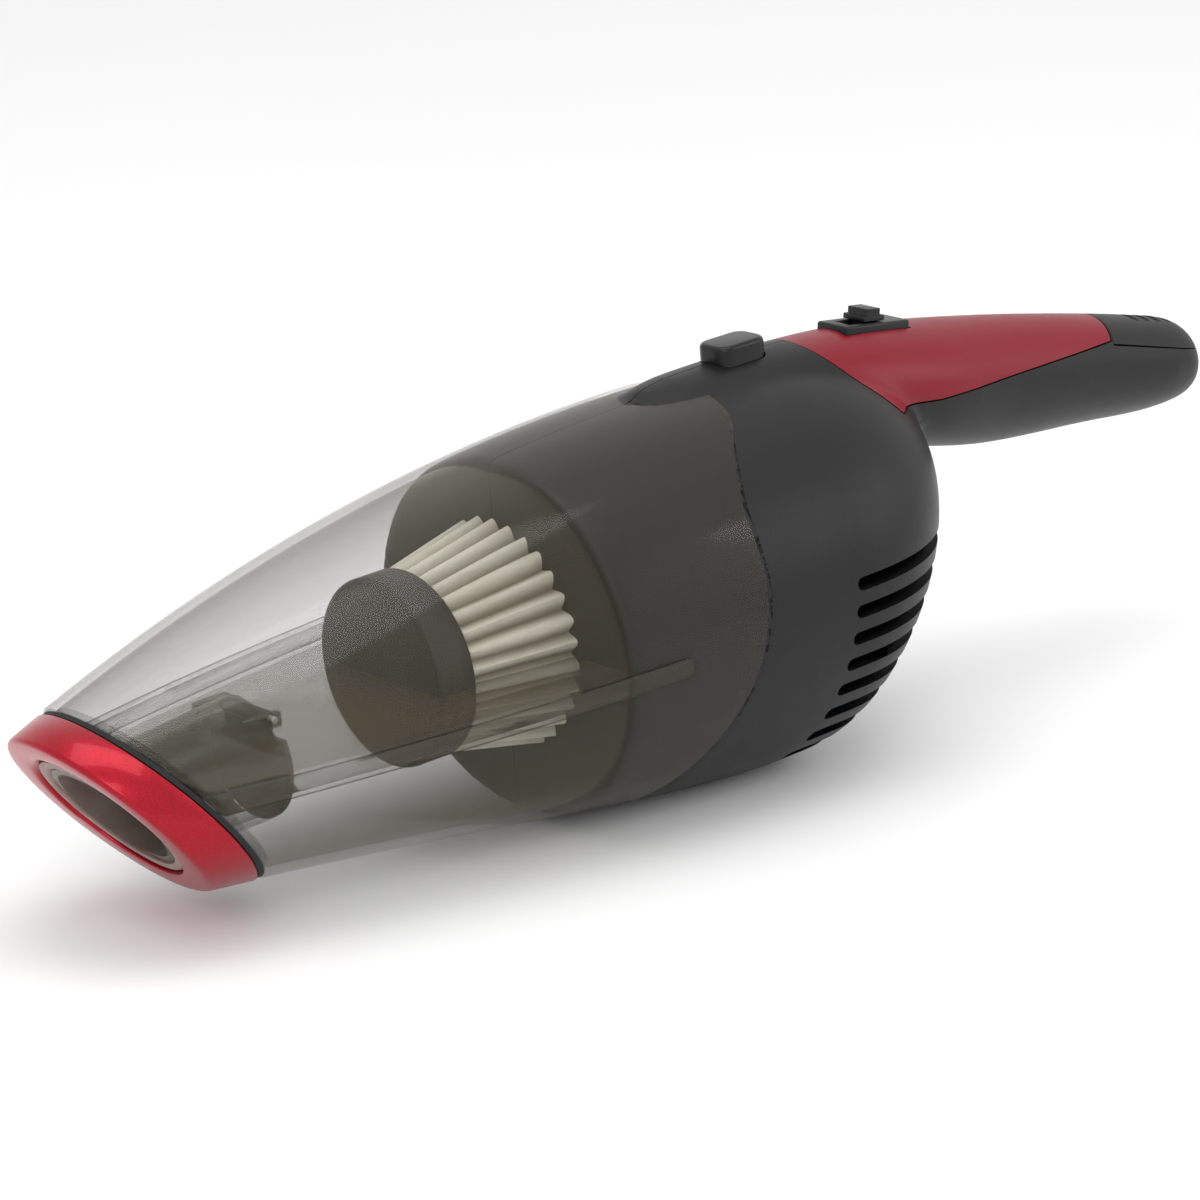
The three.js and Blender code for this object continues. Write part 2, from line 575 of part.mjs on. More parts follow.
const SHROUD = { back: 19, front: 33, radius: 35.5, wall: 1.5, eye: 14 };
part('fan_shroud', turned([
  [SHROUD.radius - SHROUD.wall, SHROUD.back], [SHROUD.radius, SHROUD.back], [SHROUD.radius, SHROUD.front],
  [SHROUD.eye, SHROUD.front], [SHROUD.eye, SHROUD.front - SHROUD.wall],
  [SHROUD.radius - SHROUD.wall, SHROUD.front - SHROUD.wall], [SHROUD.radius - SHROUD.wall, SHROUD.back],
], 24), LOOK.nylon);
part('motor_mount', turned([
  [MOTOR.shaft + 4.8, MOTOR.front + GAP], [33.6, MOTOR.front + GAP], [33.6, MOTOR.front + GAP + 2.4],
  [MOTOR.shaft + 4.8, MOTOR.front + GAP + 2.4], [MOTOR.shaft + 4.8, MOTOR.front + GAP],
], 24).subtract([0, 1, 2, 3].map((i) => {
  const g = new THREE.BoxGeometry(20, 12, 7);
  g.translate(MOTOR.front, 26, 0);
  g.rotateX((i / 4) * PI2 + 0.6);
  return solid(g);
}).reduce((a, b) => a.add(b))), LOOK.dark);

// ---------------------------------------------------------------- battery and electrics
const CELL = { radius: 7.1, from: -31, to: 15.5, z: -31, pitch: 14.7 };
for (let i = 0; i < 3; i += 1) {
  const y = (i - 1) * CELL.pitch;
  const z = CELL.z - (i === 1 ? 1.2 : 0);
  const nub = rodX(2.4, CELL.to - 1.4, CELL.to, y, z, 10);
  const can = rodX(CELL.radius, CELL.from, CELL.to - 1.2, y, z, 16).add(nub);
  part(`battery_cell_${i + 1}`, can, LOOK.cell);
}
part('battery_cradle', block(-31, 15, -21, 21, -23.6, -21.8)
  .subtract(rodX(MOTOR.radius + 0.6, -60, 60, 0, 0, 32)), LOOK.dark);
part('circuit_board', block(-50, -20, -15, 15, 24.4, 26), LOOK.board);
part('charge_jack', jackBlock(JACK.face, JACK.face + JACK.depth, 0)
  .subtract(rodX(JACK.bore, -90, JACK.face + JACK.depth - 2, 0, JACK.z, 20)), LOOK.dark);
part('charge_lamp', rodX(LAMP.radius, LAMP.from, LAMP.to, 0, LAMP.z, 16), LOOK.lens);

// Soft sealing ring round the spigot, just inside the cup's rear edge.
const sealBand = bodyForm(CUP_WALL + 0.15)
  .subtract(bodyForm(CUP_WALL + 0.4))
  .subtract(aheadOfSeam(6))
  .intersect(aheadOfSeam(4))
  .subtract(block(-10, 14, -HOOK.half - 1, HOOK.half + 1, 30, 60));
part('cup_seal', sealBand, LOOK.rubber);

// ---------------------------------------------------------------- stand it on its land
body.rotation.y = REST_PITCH;
const vacuum = new THREE.Group();
vacuum.add(body);
vacuum.updateMatrixWorld(true);
const reach = new THREE.Box3().setFromObject(vacuum, true);
body.position.set(-(reach.min.x + reach.max.x) / 2, -(reach.min.y + reach.max.y) / 2, -reach.min.z);

export default vacuum;
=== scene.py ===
# Handheld vacuum: a clear smoke cup with a red nozzle on a black housing with a bent handle.
import json
from math import atan2, cos, pi, radians, sin, sqrt, tau

import bmesh
import bpy
from mathutils import Matrix, Vector

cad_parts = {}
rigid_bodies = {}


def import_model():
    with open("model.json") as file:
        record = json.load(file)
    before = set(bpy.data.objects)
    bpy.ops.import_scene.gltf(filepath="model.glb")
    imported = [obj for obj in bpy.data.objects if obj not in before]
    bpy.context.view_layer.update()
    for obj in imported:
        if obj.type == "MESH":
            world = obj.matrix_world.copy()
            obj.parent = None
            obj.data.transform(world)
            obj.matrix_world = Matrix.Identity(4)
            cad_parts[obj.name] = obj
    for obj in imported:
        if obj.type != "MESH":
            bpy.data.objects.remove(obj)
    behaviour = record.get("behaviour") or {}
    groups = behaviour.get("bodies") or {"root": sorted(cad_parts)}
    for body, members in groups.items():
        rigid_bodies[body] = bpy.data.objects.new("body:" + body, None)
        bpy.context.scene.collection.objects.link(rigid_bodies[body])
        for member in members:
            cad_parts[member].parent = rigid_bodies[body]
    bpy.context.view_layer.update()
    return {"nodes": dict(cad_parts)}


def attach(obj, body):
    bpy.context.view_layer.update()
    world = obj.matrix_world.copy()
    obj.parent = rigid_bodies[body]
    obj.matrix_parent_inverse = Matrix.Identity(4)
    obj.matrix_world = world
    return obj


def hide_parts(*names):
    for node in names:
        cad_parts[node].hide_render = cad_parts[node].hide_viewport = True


for stray in list(bpy.data.objects):
    bpy.data.objects.remove(stray)
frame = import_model()

# ---- Dust cup -------------------------------------------------------------------------
# One clear smoke-tinted moulding, polished, pushed back over the housing's spigot. Two low
# ridges run along its crown, and a raised rail with a round rear end along each side.

# Forms are drawn in millimetres along the vacuum's own axis, then stood nose-down on the
# flat land under the belly.
NOSE_DOWN = radians(4)
LAND_DROP = 52
CENTRING = -7.931
STAND = (
    Matrix.Scale(0.001, 4)
    @ Matrix.Translation((CENTRING, 0, LAND_DROP))
    @ Matrix.Rotation(NOSE_DOWN, 4, "Y")
)
AROUND = 96
DOME_START, DOME_DEPTH, DOME_LEAN = -14, 52, 0.52
CROWN, CROWN_FALL = 48.6, 0.00087
BREADTH, NARROWING = 51.5, 0.0007
KEEL = -53.5
BELLY = [(0, KEEL), (45, -51), (110, -35), (206, -28.4)]
RIDGE, RIDGE_PROUD = tau / 16, 0.9
SEAM = [
    (70, -6), (49, -3), (46, -1), (38, 9), (27, 15.5), (10, 17.2),
    (-9, 22.5), (-25, 31), (-43, 42), (-56, 48), (-70, 50),
]
MOUTH = Vector((181.8, 0, -9.6))
MOUTH_SLANT = radians(37)
MOUTH_AXIS = Vector((cos(MOUTH_SLANT), 0, -sin(MOUTH_SLANT)))
NOSE = (120, 210)
SHOULDER = (DOME_START + 0.1, 110)
CUP_WALL = 2.2
CUP_FRONT = -11.8
SEAM_GAP = 0.9


def belly(x):
    """How far the belly's curve hangs below the axis at x."""
    low, high = 0.0, 1.0
    for _ in range(22):
        t = (low + high) / 2
        u = 1 - t
        weights = (u**3, 3 * t * u * u, 3 * t * t * u, t**3)
        along, drop = (sum(w * p[k] for w, p in zip(weights, BELLY)) for k in (0, 1))
        low, high = (t, high) if along < x else (low, t)
    return drop


def body_point(x, angle, inset=0.0, ridge=0.0):
    """A point of the body's skin at x, at an angle from the top, drawn in by inset."""
    ahead = max(x, 0)
    behind = max(DOME_START - x, 0) / (DOME_DEPTH - inset)
    dome = sqrt(max(1 - behind**2.3, 0.0004))
    top = CROWN - CROWN_FALL * ahead**2
    bottom = belly(x) if x > 0 else KEEL
    half = ((top - bottom) / 2 - inset) * dome
    width = (BREADTH - NARROWING * ahead**2 - inset) * dome
    turn = abs((angle + pi) % tau - pi)
    fall = RIDGE if turn < RIDGE else 0.6
    proud = ridge * max(0, 1 - abs(turn - RIDGE) / fall)
    z = (top + bottom) / 2 + (half + proud) * cos(angle)
    return Vector((x - DOME_LEAN * min(behind, 1) * z, (width + proud) * sin(angle), z))


def eased(rows, at):
    """The values beside a key, read smoothly from rows sorted by their first number."""
    last = len(rows) - 1
    spot = next((i for i in range(1, last) if rows[i][0] >= at), last)
    a, b = rows[spot - 1], rows[spot]
    before, after = rows[max(spot - 2, 0)], rows[min(spot + 1, last)]
    t = max(0, min(1, (at - a[0]) / (b[0] - a[0])))
    values = []
    for k in range(1, len(a)):
        rise = (b[k] - a[k]) / (b[0] - a[0])
        back = (a[k] - before[k]) / (a[0] - before[0]) if before is not a else rise
        on = (after[k] - b[k]) / (after[0] - b[0]) if after is not b else rise
        m0 = 0 if back * rise <= 0 else 2 * back * rise / (back + rise) * (b[0] - a[0])
        m1 = 0 if on * rise <= 0 else 2 * on * rise / (on + rise) * (b[0] - a[0])
        values.append(
            (2 * t**3 - 3 * t**2 + 1) * a[k] + (t**3 - 2 * t**2 + t) * m0
            + (3 * t**2 - 2 * t**3) * b[k] + (t**3 - t**2) * m1
        )
    return values


def seam_x(z):
    """Where the wavy seam between cup and housing crosses the height z."""
    return eased(SEAM[::-1], z)[0]


def along_until(point, reached, low, high):
    """The x at which the point first passes the mark."""
    for _ in range(26):
        middle = (low + high) / 2
        low, high = (low, middle) if reached(point(middle)) else (middle, high)
    return (low + high) / 2


def behind_mouth(angle, ahead, inset=0.0, ridge=0.0):
    return along_until(
        lambda x: body_point(x, angle, inset, ridge),
        lambda p: (p - MOUTH).dot(MOUTH_AXIS) > ahead, *NOSE,
    )


def ahead_of_seam(angle, offset, inset=0.0, ridge=0.0):
    return along_until(
        lambda x: body_point(x, angle, inset, ridge),
        lambda p: p.x > seam_x(p.z) + offset, *SHOULDER,
    )


def skinned(rings, looped=False):
    """A skin over rings of points, capped at its ends or looped back to its first ring."""
    count = len(rings[0])
    form = bmesh.new()
    bmesh.ops.create_cone(
        form, cap_ends=not looped, cap_tris=False, segments=count,
        radius1=1, radius2=1, depth=1,
    )
    lengthwise = [e for e in form.edges if abs(e.verts[0].co.z - e.verts[1].co.z) > 0.5]
    bmesh.ops.subdivide_edges(form, edges=lengthwise, cuts=len(rings) - 2)
    for v in form.verts:
        ring = rings[round((v.co.z + 0.5) * (len(rings) - 1))]
        v.co = ring[round(atan2(v.co.y, v.co.x) / tau * count) % count]
    if looped:
        bmesh.ops.bridge_loops(form, edges=[e for e in form.edges if e.is_boundary])
    bmesh.ops.recalc_face_normals(form, faces=form.faces)
    return form


ANGLES = [tau * i / AROUND for i in range(AROUND)]
INTAKE = [
    (142, 14.2, 14.2, -7), (160, 14.6, 13.4, -8), (180, 15.6, 12.6, -9.5), (206, 16.4, 12.6, -9.5),
]


def passage_point(x, angle, grow):
    """A point of the oval intake passage's wall, grown outward."""
    wide, tall, centre = eased(INTAKE, x)
    return Vector((x, (wide + grow) * sin(angle), centre + (tall + grow) * cos(angle)))


def passage_ring(ahead, grow):
    """The passage where a plane square to the mouth's axis crosses it."""
    ring = []
    for angle in ANGLES:
        x = along_until(
            lambda x: passage_point(x, angle, grow),
            lambda p: (p - MOUTH).dot(MOUTH_AXIS) > ahead, INTAKE[0][0], INTAKE[-1][0],
        )
        ring.append(passage_point(x, angle, grow))
    return ring


def body_ring(ahead, inset, ridge=0.0):
    """The body's skin where a plane square to the mouth's axis crosses it."""
    return [body_point(behind_mouth(a, ahead, inset, ridge), a, inset, ridge) for a in ANGLES]


def seam_ring(offset, inset, ridge=0.0):
    """The body's skin along the seam's line, moved forward by offset."""
    return [body_point(ahead_of_seam(a, offset, inset, ridge), a, inset, ridge) for a in ANGLES]


def cup_rings(rear_offset, front, inset, ridge, count):
    """Rings from the seam's line to the front plane, evenly shared out at every angle."""
    ends = [
        (ahead_of_seam(a, rear_offset, inset, ridge), behind_mouth(a, front, inset, ridge))
        for a in ANGLES
    ]
    return [
        [
            body_point(rear + (fore - rear) * i / count, a, inset, ridge)
            for a, (rear, fore) in zip(ANGLES, ends)
        ]
        for i in range(count + 1)
    ]


def placed(form, name="blank"):
    """An object in the scene made from a form, which is used up."""
    mesh = bpy.data.meshes.new(name)
    form.to_mesh(mesh)
    form.free()
    thing = bpy.data.objects.new(name, mesh)
    bpy.context.scene.collection.objects.link(thing)
    return thing


def worked(blank, *tools):
    """The form that a blank's modifier makes of it; blank and tools are thrown away."""
    bpy.context.view_layer.update()
    result = bmesh.new()
    result.from_object(blank, bpy.context.evaluated_depsgraph_get())
    for used in (blank, *tools):
        mesh = used.data
        bpy.data.objects.remove(used)
        bpy.data.meshes.remove(mesh)
    return result


def combined(first, second, how):
    """first joined with, cut by or kept inside second, both closed; both are used up."""
    blank, tool = placed(first), placed(second)
    cut = blank.modifiers.new("cut", "BOOLEAN")
    cut.object = tool
    cut.operation = how
    cut.solver = "MANIFOLD"
    return worked(blank, tool)


def extruded(outline, push):
    """A flat outline pushed out into a closed bar."""
    form = bmesh.new()
    face = form.faces.new([form.verts.new(point) for point in outline])
    made = bmesh.ops.extrude_face_region(form, geom=[face])
    pushed = [v for v in made["geom"] if isinstance(v, bmesh.types.BMVert)]
    bmesh.ops.translate(form, verts=pushed, vec=push)
    if any(e.is_boundary for e in form.edges):
        bmesh.ops.holes_fill(form, edges=form.edges)
    bmesh.ops.recalc_face_normals(form, faces=form.faces)
    return form


def prism(outline, low=-90, high=90):
    """A side-view outline of (x, z) points pushed out across the body."""
    return extruded([(x, low, z) for x, z in outline], (0, high - low, 0))


def block(x0, x1, y0, y1, z0, z1):
    """A square-edged block between two corners."""
    form = bmesh.new()
    bmesh.ops.create_cube(form, size=1)
    bmesh.ops.scale(form, vec=(x1 - x0, y1 - y0, z1 - z0), verts=form.verts)
    bmesh.ops.translate(
        form, vec=((x0 + x1) / 2, (y0 + y1) / 2, (z0 + z1) / 2), verts=form.verts
    )
    return form


def capsule(x0, x1, z, radius, steps=8):
    """A side-view bar from x0 to x1 with a round end at x0."""
    rear = [
        (x0 - radius * sin(pi * i / steps), z + radius * cos(pi * i / steps))
        for i in range(steps + 1)
    ]
    return rear + [(x1, z - radius), (x1, z + radius)]


def body_solid(inset, start, end, count):
    """The body's form from start to end along the axis, closed by flat ends."""
    stations = [start + (end - start) * i / count for i in range(count + 1)]
    return skinned([[body_point(x, a, inset) for a in ANGLES] for x in stations])


def finished(form, name, body, finish, stands_for, sharp=34, standing=True):
    """The piece's object: on its stand, smooth but for real edges, riding on its body."""
    bmesh.ops.remove_doubles(form, verts=form.verts, dist=0.004 if standing else 4e-6)
    if standing:
        bmesh.ops.transform(form, matrix=STAND, verts=form.verts)
    piece = placed(form, name)
    piece.data.shade_smooth()
    piece.data.set_sharp_from_angle(angle=radians(sharp))
    piece.data.materials.append(finish.material)
    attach(piece, body)
    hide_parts(*stands_for)
    return piece


class Wire:
    """A socket of a material's nodes that takes part in ordinary sums."""

    def __init__(self, tree, socket):
        self.tree = tree
        self.socket = socket

    def sum(self, operation, first, second):
        node = self.tree.nodes.new("ShaderNodeMath")
        node.operation = operation
        for slot, value in zip(node.inputs, (first, second)):
            if isinstance(value, Wire):
                self.tree.links.new(value.socket, slot)
            else:
                slot.default_value = value
        return Wire(self.tree, node.outputs[0])

    def __add__(self, other):
        return self.sum("ADD", self, other)

    __radd__ = __add__

    def __sub__(self, other):
        return self.sum("SUBTRACT", self, other)

    def __mul__(self, other):
        return self.sum("MULTIPLY", self, other)

    __rmul__ = __mul__

    def __pow__(self, other):
        return self.sum("POWER", self, other)


class Finish:
    """A material: its shader, the place on the piece, and the noises that wear it."""

    def __init__(self, name, **uniform):
        self.material = bpy.data.materials.new(name)
        self.material.use_nodes = True
        self.tree = self.material.node_tree
        self.shader = self.tree.nodes["Principled BSDF"]
        for socket, value in uniform.items():
            self.plug(value, self.shader.inputs[socket.replace("_", " ")])
        self.place = self.node("ShaderNodeTexCoord", "Object")

    def plug(self, value, slot):
        if isinstance(value, Wire):
            self.tree.links.new(value.socket, slot)
        elif isinstance(value, tuple) and slot.type == "RGBA":
            slot.default_value = (*value[:3], 1)
        else:
            slot.default_value = value

    def node(self, kind, out=0, settings=None, **values):
        node = self.tree.nodes.new(kind)
        for key, value in (settings or {}).items():
            setattr(node, key, value)
        for key, value in values.items():
            spot = int(key[1:]) if key[0] == "_" else key.replace("_", " ")
            self.plug(value, node.inputs[spot])
        return Wire(self.tree, node.outputs[out])

    def noise(self, scale, detail=2.0, stretch=None):
        place = self.place
        if stretch:
            place = self.node("ShaderNodeMapping", Vector=place, Scale=stretch)
        return self.node("ShaderNodeTexNoise", "Fac", Vector=place, Scale=scale, Detail=detail)

    def stepped(self, value, low, high):
        """0 below low, 1 above high, and a smooth rise between."""
        return self.node(
            "ShaderNodeMapRange", settings={"interpolation_type": "SMOOTHSTEP"},
            Value=value, From_Min=low, From_Max=high,
        )

    def mixed(self, share, first, second):
        return self.node(
            "ShaderNodeMix", 2, {"data_type": "RGBA"}, _0=share, _6=first, _7=second
        )

    def feed(self, socket, wire):
        self.plug(wire, self.shader.inputs[socket])

    def relief(self, height, distance, strength=1.0):
        self.feed("Normal", self.node(
            "ShaderNodeBump", "Normal", Height=height, Distance=distance, Strength=strength
        ))


def smoke(name, tint, clear, rim):
    """Clear tinted plastic: each wall lets most light by, less where it is seen edge on."""
    look = Finish(name, IOR=1.75, Roughness=0.07)
    edge_on = look.node("ShaderNodeLayerWeight", "Facing", Blend=0.5)
    flow = look.noise(14, 3, (0.35, 1, 1))
    look.feed("Base Color", look.mixed(flow, tint, tuple(c * 0.72 for c in tint)))
    look.feed("Alpha", clear + rim * edge_on**3 + (flow - 0.5) * 0.05)
    look.feed("Roughness", 0.05 + 0.06 * look.noise(30, 4))
    look.relief(look.noise(22, 2, (0.4, 1, 1)), 0.0002, 0.05)
    return look


cup_smoke = smoke("cup_smoke", (0.105, 0.082, 0.046), 0.125, 0.6)

LIP, TUBE_WALL, CUP_STATIONS = 0.5, 1.9, 44
CUP_BACK = CUP_FRONT - CUP_WALL
outer = cup_rings(SEAM_GAP + LIP, CUP_FRONT - LIP, 0, RIDGE_PROUD, CUP_STATIONS)
inner = cup_rings(SEAM_GAP + LIP, CUP_BACK, CUP_WALL, RIDGE_PROUD, CUP_STATIONS)
rim = [seam_ring(SEAM_GAP, inset, RIDGE_PROUD) for inset in (CUP_WALL - LIP, LIP)]
front = [
    body_ring(CUP_FRONT, LIP, RIDGE_PROUD), passage_ring(CUP_FRONT, TUBE_WALL),
    passage_ring(CUP_BACK, TUBE_WALL), body_ring(CUP_BACK, CUP_WALL + 0.3, RIDGE_PROUD),
]
cup = skinned(outer + front + inner[::-1] + rim, looped=True)

RAIL_REAR, RAIL_Z, RAIL_HALF = 46.6, -1.8, 2.6
CATCH_SLOT = (2, 8.5, -4.5, 4.5)
bar = combined(
    body_solid(-0.9, 36, 176, 40),
    prism(capsule(RAIL_REAR, 190, RAIL_Z, RAIL_HALF)), "INTERSECT",
)
bar = combined(bar, body_solid(1.1, 30, 190, 40), "DIFFERENCE")
NOSE_CUT = 320
nose_cut = bmesh.new()
bmesh.ops.create_cube(nose_cut, size=NOSE_CUT)
bmesh.ops.transform(
    nose_cut, verts=nose_cut.verts,
    matrix=Matrix.Translation(MOUTH) @ Matrix.Rotation(MOUTH_SLANT, 4, "Y")
    @ Matrix.Translation((NOSE_CUT / 2 + CUP_FRONT, 0, 0)),
)
bar = combined(bar, nose_cut, "DIFFERENCE")
cup = combined(cup, bar, "UNION")
cup = combined(cup, block(*CATCH_SLOT, 40, 60), "DIFFERENCE")
cup_piece = finished(cup, "smoke_cup", "cup", cup_smoke, ["dust_cup"])

# Seen across the wall's full depth, the rails' edges and the cup's rims read much darker. The
# rails' edge faces get a darker, less clear smoke as painted shade.
rail_edge_painted_shade = smoke("cup_edge_painted_shade", (0.012, 0.011, 0.009), 0.55, 0.3)
cup_piece.data.materials.append(rail_edge_painted_shade.material)
# Painted shade: faces on the rails' upper and lower edges and round rear ends take the darker
# smoke.
unstand = STAND.inverted()
for f in cup_piece.data.polygons:
    at = unstand @ f.center
    lie = (unstand.to_3x3() @ f.normal).normalized()
    level = abs(at.z - RAIL_Z)
    on_rail = abs(level - RAIL_HALF) < 0.7 and abs(lie.z) > 0.8
    near_end = RAIL_REAR - RAIL_HALF - 1 < at.x < RAIL_REAR + 0.4 and level < RAIL_HALF + 0.4
    if abs(at.y) > 20 and (on_rail or near_end and abs(lie.x) > 0.5):
        f.material_index = 1

# ---- Nozzle collar, liner and gasket ---------------------------------------------------
# A lacquered red collar closes the cup's slanted front. A grey-beige liner rings its bore,
# and a thin rubber gasket lies between collar and cup. All are pressed on with the tube.

collar_red = Finish("collar_red", Metallic=0.8, IOR=1.45, Coat_Weight=0.35, Coat_Roughness=0.08)
flake = collar_red.noise(5200, 1)
sweep = collar_red.noise(9, 2)
collar_red.feed("Base Color", collar_red.mixed(
    collar_red.stepped(flake, 0.35, 0.7), (0.27, 0.0, 0.008), (0.48, 0.001, 0.018)
))
collar_red.feed("Roughness", 0.24 + 0.14 * sweep)
collar_red.relief(flake, 0.00003, 0.35)

COLLAR_BACK, COLLAR_BORE = -10, 4.6
face = [
    body_ring(COLLAR_BACK + 0.3, -0.2), body_ring(COLLAR_BACK / 2, -0.2), body_ring(-1.4, -0.2),
    body_ring(-0.7, 0), body_ring(-0.2, 0.5), body_ring(0, 1.2),
    passage_ring(0, 6.2), passage_ring(-0.15, 5.2), passage_ring(-0.8, 4.7),
    passage_ring(COLLAR_BACK / 2, COLLAR_BORE), passage_ring(COLLAR_BACK, COLLAR_BORE),
    body_ring(COLLAR_BACK, 0.1),
]
finished(
    skinned(face, looped=True), "red_collar", "cup", collar_red,
    ["nozzle_collar"], 50,
)


def mottled(name, level, patches, dark, light, gloss, grain):
    """Two shades in patches, an uneven gloss (least, spread, noise) and a fine grain."""
    look = Finish(name, Specular_IOR_Level=level)
    look.feed("Base Color", look.mixed(look.noise(patches, 4), dark, light))
    least, spread, *cloud = gloss
    look.feed("Roughness", least + spread * look.noise(*cloud))
    scale, detail, height, strength = grain
    look.relief(look.noise(scale, detail), height, strength)
    return look


liner_grey = mottled(
    "liner_grey", 0.4, 160, (0.2, 0.12, 0.11), (0.34, 0.25, 0.22),
    gloss=(0.42, 0.2, 60, 3), grain=(2200, 2, 0.00004, 0.4),
)
ring = [
    passage_ring(COLLAR_BACK, 4.3), passage_ring(-1.4, 4.3), passage_ring(-0.9, 4.0),
    passage_ring(-0.8, 3.5), passage_ring(-0.8, 2.6), passage_ring(-1.0, 2.1),
    passage_ring(-1.6, 1.9), passage_ring(COLLAR_BACK, 1.9),
]
finished(
    skinned(ring, looped=True), "bore_liner", "cup", liner_grey,
    ["mouth_liner"], 50,
)

seal_rubber = mottled(
    "seal_rubber", 0.3, 300, (0.008, 0.008, 0.009), (0.022, 0.022, 0.024),
    gloss=(0.6, 0.25, 90, 3), grain=(1500, 3, 0.00005, 0.5),
)
GASKET = (-11.5, -10.3)
band = [body_ring(ahead, 0.3) for ahead in GASKET]
band += [passage_ring(ahead, COLLAR_BORE) for ahead in GASKET[::-1]]
finished(
    skinned(band, looped=True), "front_gasket", "cup", seal_rubber,
    ["collar_gasket"],
)

# ---- Intake tube and flap valve ---------------------------------------------------------
# A clear oval tube leads in from the mouth. A round rubber flap hangs on a steel pin over
# its inner end, between two moulded ears, and lets dust in but not out.

tube_smoke = smoke("tube_smoke", (0.10, 0.10, 0.062), 0.13, 0.5)
flap_grey = mottled(
    "flap_grey", 0.45, 70, (0.016, 0.016, 0.017), (0.034, 0.034, 0.036),
    gloss=(0.38, 0.2, 45, 3), grain=(1200, 3, 0.00004, 0.4),
)

steel = Finish("bright_steel", Metallic=1.0)
steel.feed("Base Color", steel.mixed(steel.noise(400, 4), (0.42, 0.42, 0.43), (0.6, 0.6, 0.61)))
steel.feed("Roughness", 0.22 + 0.2 * steel.noise(900, 3, (0.2, 1, 1)))
steel.relief(steel.noise(3000, 2, (0.1, 1, 1)), 0.00002, 0.3)


def eased_copy(node, body, finish, edge):
    """A CAD piece with its corners eased: merged, its flats made whole, its edges rolled."""
    corner = 32
    form = bmesh.new()
    form.from_mesh(frame["nodes"][node].data)
    bmesh.ops.remove_doubles(form, verts=form.verts, dist=2e-6)
    bmesh.ops.dissolve_limit(
        form, angle_limit=radians(0.4), verts=form.verts, edges=form.edges
    )
    corners = [
        e for e in form.edges
        if len(e.link_faces) == 2 and e.calc_face_angle(0) > radians(corner)
    ]
    if edge and corners:
        bmesh.ops.bevel(
            form, geom=corners, offset=edge / 1000, offset_type="OFFSET", segments=3,
            profile=0.5, affect="EDGES", clamp_overlap=True, material=-1,
        )
    return finished(
        form, f"{node}_eased", body, finish, [node], corner, standing=False
    )


eased_copy("intake_tube", "cup", tube_smoke, 0)
eased_copy("flap_valve", "flap", flap_grey, 0.25)
eased_copy("flap_pin", "cup", steel, 0.15)

# ---- Filter cartridge -------------------------------------------------------------------
# Pleated paper on a slotted nylon core, closed at the front by a smooth dark cap and at the
# rear by a flange whose tube plugs into the holder. The pleats taper towards the cap.

PLEATS, FOLD_STEPS = 30, 8
FILTER_Z = 1.6
PAPER_REAR, PAPER_LONG = 57.2, 32.4
PAPER_RADIUS, PAPER_TAPER, CORE_RADIUS = 30.3, 6.9, 18.7
ROUND_PAPER = [tau * i / (PLEATS * FOLD_STEPS) for i in range(PLEATS * FOLD_STEPS)]


def on_filter(x, radius, angle):
    """A point at a radius and an angle about the cartridge's axis."""
    return Vector((x, radius * sin(angle), FILTER_Z + radius * cos(angle)))


def pleat_ring(x, reach, depth):
    """One ring of rounded pleats; a few lean or stand a little proud of the rest."""
    ring = []
    for i, angle in enumerate(ROUND_PAPER):
        fold = i // FOLD_STEPS
        lean = 0.012 * sin(fold * 2.4) * sin((x - PAPER_REAR) / PAPER_LONG * pi)
        wave = (1 + cos(tau * i / FOLD_STEPS)) / 2
        radius = reach - depth * (1 - wave**0.7) - 0.25 * (1 + sin(fold * 1.9))
        ring.append(on_filter(x, radius, angle + lean))
    return ring


outside = [
    pleat_ring(PAPER_REAR + PAPER_LONG * t, PAPER_RADIUS - PAPER_TAPER * t, 3.2 - 0.5 * t)
    for t in [i / 12 for i in range(13)]
]
inside = [
    [on_filter(x, CORE_RADIUS, angle) for angle in ROUND_PAPER]
    for x in (PAPER_REAR + PAPER_LONG, PAPER_REAR)
]
paper_form = skinned(outside + inside, looped=True)
filter_paper = Finish("filter_paper", Specular_IOR_Level=0.15)
fibre = filter_paper.noise(900, 6, (0.3, 1, 1))
dust = filter_paper.stepped(filter_paper.noise(45, 4), 0.5, 0.75)
clean = filter_paper.mixed(fibre, (0.60, 0.57, 0.46), (0.80, 0.77, 0.66))
# Painted shade: the paper darkens towards the pleats' valleys, driven by the fold_depth attribute.
depth = filter_paper.node("ShaderNodeAttribute", "Fac", {"attribute_name": "fold_depth"})
shaded = filter_paper.mixed(depth, clean, (0.27, 0.25, 0.18))
filter_paper.feed("Base Color", filter_paper.mixed(0.35 * dust, shaded, (0.42, 0.38, 0.30)))
filter_paper.feed("Roughness", 0.82 + 0.15 * fibre)
filter_paper.relief(fibre, 0.00012, 0.6)
pleats = finished(
    paper_form, "pleated_paper", "filter", filter_paper, ["pleated_filter"], 60
)
# fold_depth runs from 0 at a pleat's ridge to 1 deep in its valley and drives the painted valley
# shade.
shade = pleats.data.attributes.new("fold_depth", "FLOAT", "POINT")
for i, v in enumerate(pleats.data.vertices):
    at = unstand @ v.co
    reach = PAPER_RADIUS - PAPER_TAPER * (at.x - PAPER_REAR) / PAPER_LONG
    radius = sqrt(at.y**2 + (at.z - FILTER_Z) ** 2)
    shade.data[i].value = max(0, min(1, (reach - radius - 0.4) / 2.6))


